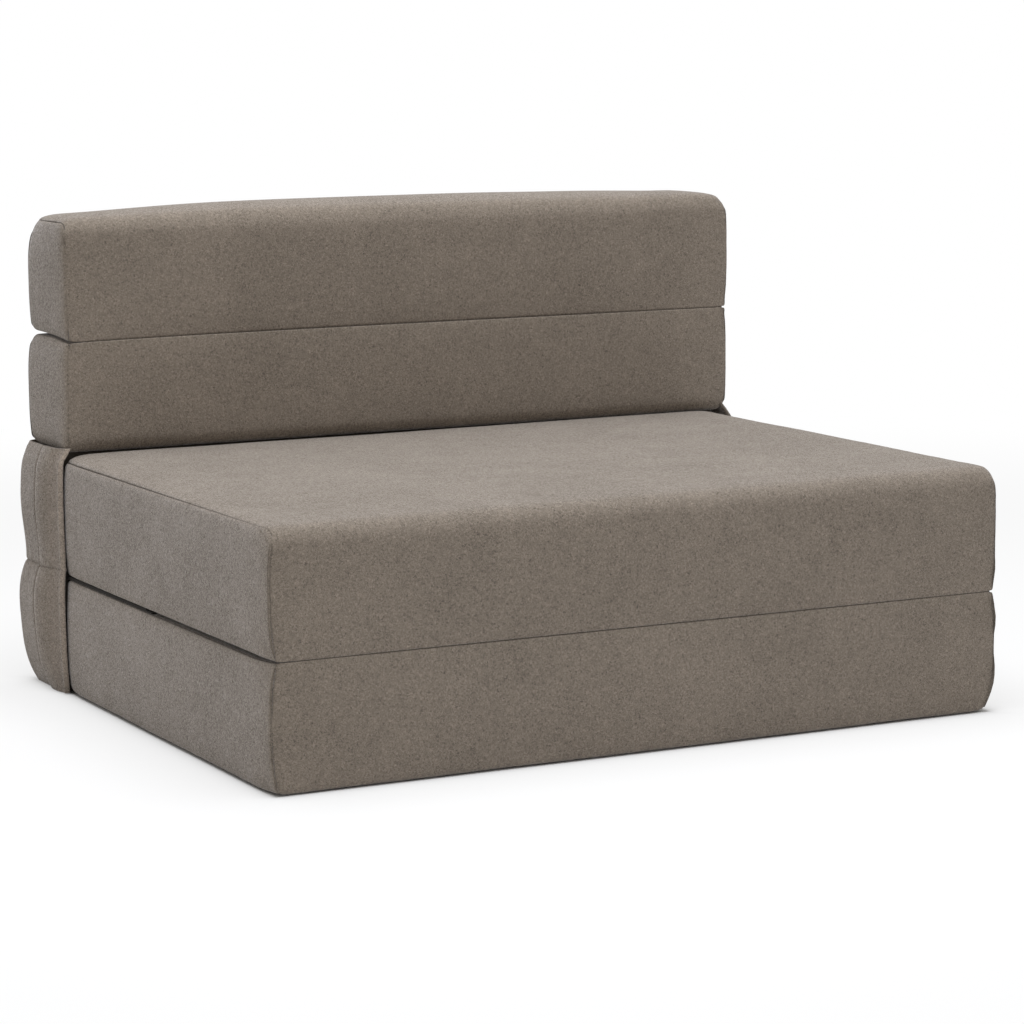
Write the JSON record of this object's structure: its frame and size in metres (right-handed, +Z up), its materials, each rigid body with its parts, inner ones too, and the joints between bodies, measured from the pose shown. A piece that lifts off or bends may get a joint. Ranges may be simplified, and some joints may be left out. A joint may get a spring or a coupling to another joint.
{
  "type": "convertible chair bed",
  "caption": "Low armless chair bed of fabric-covered foam blocks: the seat unfolds forward, the back section tips to the floor, and its top folds over.",
  "frame": {"origin": "on the floor, under the middle of the overall box", "axes": "+X to the right as seen from the front, +Y from the front face to the rear, +Z up"},
  "size_m": [1.0476, 0.8246, 0.6485],
  "materials": {
    "cover_fabric": "taupe microfibre velvet with a soft mottled nap",
    "hem_fabric": "the same taupe velvet, folded over and topstitched",
    "lining_fabric": "dark brown-black woven lining, matt",
    "tape_fabric": "dark taupe woven polyester tape",
    "foam": "cream open-cell foam",
    "zip_metal": "gunmetal zip slider, satin"
  },
  "bodies": {
    "base": {"base_foam": "foam", "base_cover": "cover_fabric", "base_side_left": "cover_fabric", "base_side_right": "cover_fabric", "base_underlay": "lining_fabric", "floor_gusset": "lining_fabric", "seat_hinge_tape": "tape_fabric", "anchor_flap_lower": "lining_fabric", "anchor_flap_upper": "lining_fabric", "base_zip": "tape_fabric"},
    "base_slider": {"base_zip_slider": "zip_metal", "base_zip_pull": "zip_metal"},
    "seat": {"seat_foam": "foam", "seat_cover": "cover_fabric", "seat_side_left": "cover_fabric", "seat_side_right": "cover_fabric", "seat_zip": "tape_fabric"},
    "seat_slider": {"seat_zip_slider": "zip_metal", "seat_zip_pull": "zip_metal"},
    "backrest": {"lower_back_foam": "foam", "lower_back_cover": "cover_fabric", "lower_back_side_left": "cover_fabric", "lower_back_side_right": "cover_fabric", "lower_back_zip": "tape_fabric", "rear_foam_lower": "foam", "rear_foam_upper": "foam", "sleeve_rear_sheet": "cover_fabric", "sleeve_front_lining": "lining_fabric", "wing_left": "cover_fabric", "wing_right": "cover_fabric", "wing_left_hem": "hem_fabric", "wing_right_hem": "hem_fabric", "headrest_hinge_tape": "tape_fabric"},
    "lower_back_slider": {"lower_back_zip_slider": "zip_metal"},
    "lower_back_pull": {"lower_back_zip_pull": "zip_metal"},
    "headrest": {"upper_back_foam": "foam", "upper_back_cover": "cover_fabric", "upper_back_side_left": "cover_fabric", "upper_back_side_right": "cover_fabric", "upper_back_zip": "tape_fabric"},
    "upper_back_slider": {"upper_back_zip_slider": "zip_metal"},
    "upper_back_pull": {"upper_back_zip_pull": "zip_metal"}
  },
  "joints": [
    {"name": "seat_unfold", "type": "hinge", "parent": "base", "child": "seat", "pos_m": [0, -0.41295, 0.1576], "axis": [1, 0, 0], "range_deg": [0, 178]},
    {"name": "back_recline", "type": "hinge", "parent": "base", "child": "backrest", "pos_m": [0, 0.41265, 0.0012], "axis": [-1, 0, 0], "range_deg": [0, 90]},
    {"name": "headrest_fold", "type": "hinge", "parent": "backrest", "child": "headrest", "pos_m": [0, 0.27005, 0.477], "axis": [1, 0, 0], "range_deg": [0, 165]},
    {"name": "base_zip_slide", "type": "slide", "parent": "base", "child": "base_slider", "axis": [1, 0, 0], "range_m": [0, 0.882]},
    {"name": "seat_zip_slide", "type": "slide", "parent": "seat", "child": "seat_slider", "axis": [1, 0, 0], "range_m": [0, 0.882]},
    {"name": "lower_back_zip_slide", "type": "slide", "parent": "backrest", "child": "lower_back_slider", "axis": [1, 0, 0], "range_m": [0, 0.882]},
    {"name": "lower_back_pull_swing", "type": "hinge", "parent": "lower_back_slider", "child": "lower_back_pull", "pos_m": [-0.441, 0.41105, 0.40075], "axis": [0, 0, 1], "range_deg": [0, 180]},
    {"name": "upper_back_zip_slide", "type": "slide", "parent": "headrest", "child": "upper_back_slider", "axis": [1, 0, 0], "range_m": [0, 0.882]},
    {"name": "upper_back_pull_swing", "type": "hinge", "parent": "upper_back_slider", "child": "upper_back_pull", "pos_m": [-0.441, 0.41105, 0.554], "axis": [0, 0, 1], "range_deg": [0, 180]}
  ]
}
